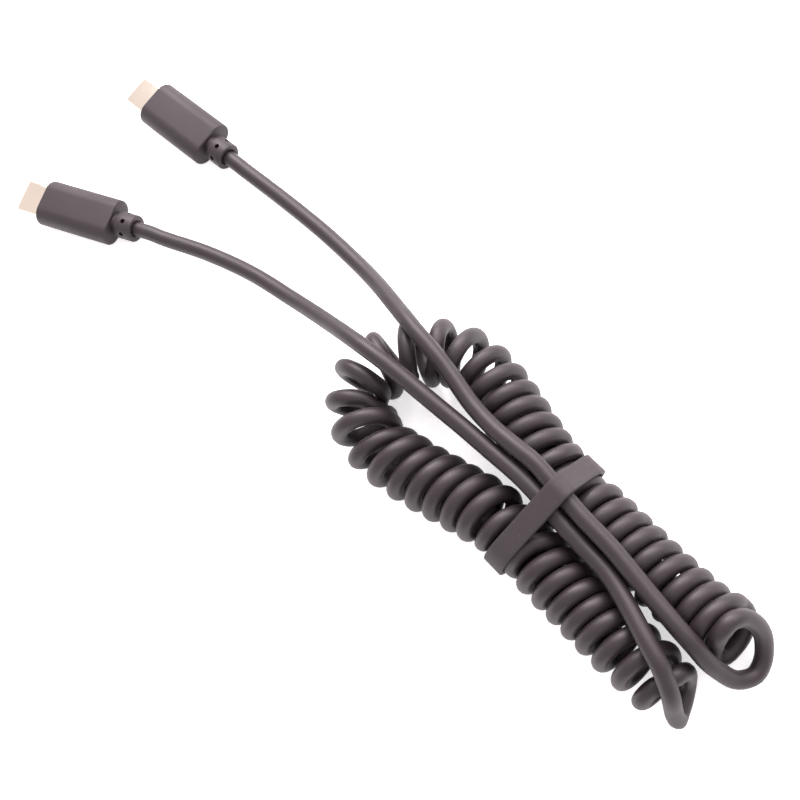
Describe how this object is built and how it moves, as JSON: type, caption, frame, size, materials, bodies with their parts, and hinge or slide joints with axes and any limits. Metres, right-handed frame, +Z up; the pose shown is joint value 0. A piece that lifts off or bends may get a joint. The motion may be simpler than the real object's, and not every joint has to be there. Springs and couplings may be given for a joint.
{
  "type": "coiled usb-c cable",
  "caption": "Coiled data and charging cable with a plug at each end, its springy coil folded in two with both straight leads held on it by a flat rubber tie.",
  "frame": {"origin": "Centre of the bounding box, on the flat surface that the cable lies on.", "axes": "+X runs from the two plugs towards the open end of the folded coil, along the cable's longest extent. +Y runs across it, from plug b towards plug a. +Z is up from the surface."},
  "size_m": [0.1952, 0.0596, 0.0198],
  "materials": {
    "cord_black": "satin black soft jacket",
    "grip_black": "matte moulded soft plastic",
    "tie_black": "matte rubber",
    "nickel": "satin nickel plate",
    "insert_black": "moulded black plastic"
  },
  "bodies": {
    "root": {"plug_shell_a": "nickel", "plug_shell_b": "nickel", "contact_insert_a": "insert_black", "contact_insert_b": "insert_black", "plug_body_a": "grip_black", "plug_body_b": "grip_black", "strain_relief_a": "grip_black", "strain_relief_b": "grip_black", "lead_a": "cord_black", "lead_b": "cord_black", "coil": "cord_black", "cable_tie": "tie_black"}
  },
  "joints": []
}
